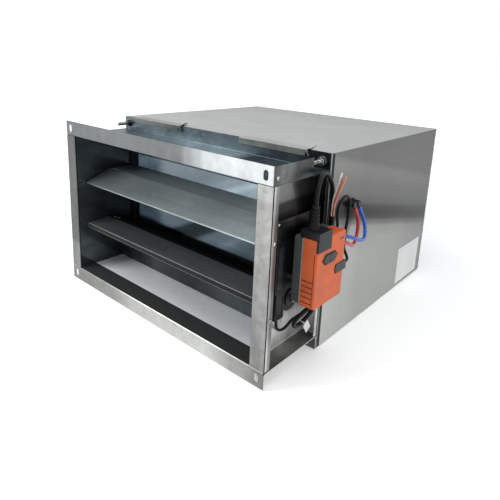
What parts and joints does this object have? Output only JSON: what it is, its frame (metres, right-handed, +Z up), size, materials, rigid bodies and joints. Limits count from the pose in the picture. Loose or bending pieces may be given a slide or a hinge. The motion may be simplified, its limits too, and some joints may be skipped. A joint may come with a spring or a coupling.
{
  "type": "variable air volume box",
  "caption": "Rectangular variable air volume box: opposed damper blades geared on one side wall, an actuator with pressure tubes, and a lined silencer section.",
  "frame": {"origin": "centre of the inlet opening, in the front face of the inlet flange", "axes": "+X across the duct to the side with the actuator, +Y along the air flow from inlet to outlet, +Z up"},
  "size_m": [0.6075, 0.633, 0.369],
  "materials": {
    "galvanised_steel": "satin zinc",
    "zinc_fastener": "satin",
    "blade_metal": "satin",
    "bright_aluminium": "bright",
    "black_plastic": "matt",
    "dark_plastic": "matt",
    "grey_plastic": "matt",
    "gear_plastic": "satin",
    "orange_plastic": "fine texture",
    "white_plastic": "matt",
    "black_rubber": "matt",
    "cable_sheath": "satin",
    "core_insulation": "satin",
    "blue_plastic": "satin",
    "red_plastic": "satin",
    "mineral_wool": "fibrous"
  },
  "bodies": {
    "casing_body": {"top_channel": "galvanised_steel", "bottom_channel": "galvanised_steel", "left_channel": "galvanised_steel", "right_channel": "galvanised_steel", "left_edge_angle": "galvanised_steel", "right_edge_angle": "galvanised_steel", "casing_screws": "zinc_fastener", "upper_stop": "galvanised_steel", "lower_stop": "galvanised_steel", "axle_bushes": "black_plastic", "gear_housing_base": "black_plastic", "gear_cover": "black_plastic", "actuator_bracket": "galvanised_steel", "actuator_base": "dark_plastic", "actuator_cover": "orange_plastic", "terminal_cap": "dark_plastic", "strain_relief": "black_rubber", "release_frame": "dark_plastic", "tool_plug": "grey_plastic", "joint_gasket": "black_rubber", "front_frame": "galvanised_steel", "rear_frame": "galvanised_steel", "silencer_wrap": "galvanised_steel", "silencer_base": "galvanised_steel", "liner_top": "galvanised_steel", "liner_bottom": "galvanised_steel", "liner_left": "galvanised_steel", "liner_right": "galvanised_steel", "wool_top": "mineral_wool", "wool_bottom": "mineral_wool", "wool_left": "mineral_wool", "wool_right": "mineral_wool", "sensor_tubes": "bright_aluminium", "sensor_cups": "black_plastic", "sensor_fittings": "black_plastic", "joint_cleats": "galvanised_steel", "corner_bolts": "zinc_fastener", "corner_nuts": "zinc_fastener", "supply_cable": "cable_sheath", "supply_cores": "core_insulation", "tool_cable": "cable_sheath", "blue_tube": "blue_plastic", "red_tube": "red_plastic", "cable_tag": "white_plastic"},
    "lower_blade_body": {"lower_blade": "blade_metal", "lower_blade_rivets": "zinc_fastener", "lower_blade_seal": "black_rubber", "lower_axle": "zinc_fastener", "lower_gear": "gear_plastic"},
    "upper_blade_body": {"upper_blade": "blade_metal", "upper_blade_rivets": "zinc_fastener", "upper_axle": "zinc_fastener", "upper_gear": "gear_plastic"},
    "drive_body": {"drive_gear": "gear_plastic", "drive_spindle": "zinc_fastener", "spindle_clamp": "zinc_fastener", "clamp_bolt": "zinc_fastener"},
    "idler_body": {"idler_gear": "gear_plastic"},
    "release_body": {"release_button": "grey_plastic"}
  },
  "joints": [
    {"name": "lower_blade_hinge", "type": "hinge", "parent": "casing_body", "child": "lower_blade_body", "pos_m": [0.25, 0.084, -0.057], "axis": [-1, 0, 0], "range_deg": [-9, 50]},
    {"name": "upper_blade_hinge", "type": "hinge", "parent": "casing_body", "child": "upper_blade_body", "pos_m": [0.25, 0.084, 0.057], "axis": [-1, 0, 0], "range_deg": [-50, 9]},
    {"name": "drive_hinge", "type": "hinge", "parent": "casing_body", "child": "drive_body", "pos_m": [0.25, 0.084, -0.019], "axis": [-1, 0, 0], "range_deg": [-50, 9]},
    {"name": "idler_hinge", "type": "hinge", "parent": "casing_body", "child": "idler_body", "pos_m": [0.25, 0.084, 0.019], "axis": [-1, 0, 0], "range_deg": [-9, 50]},
    {"name": "release_slide", "type": "slide", "parent": "casing_body", "child": "release_body", "axis": [-1, 0, 0], "range_m": [0, 0.0025], "stiffness_N_per_m": 400}
  ],
  "couplings": [
    {"joint": "upper_blade_hinge", "follows": "lower_blade_hinge", "ratio": -1},
    {"joint": "drive_hinge", "follows": "lower_blade_hinge", "ratio": -1},
    {"joint": "idler_hinge", "follows": "lower_blade_hinge", "ratio": 1}
  ]
}
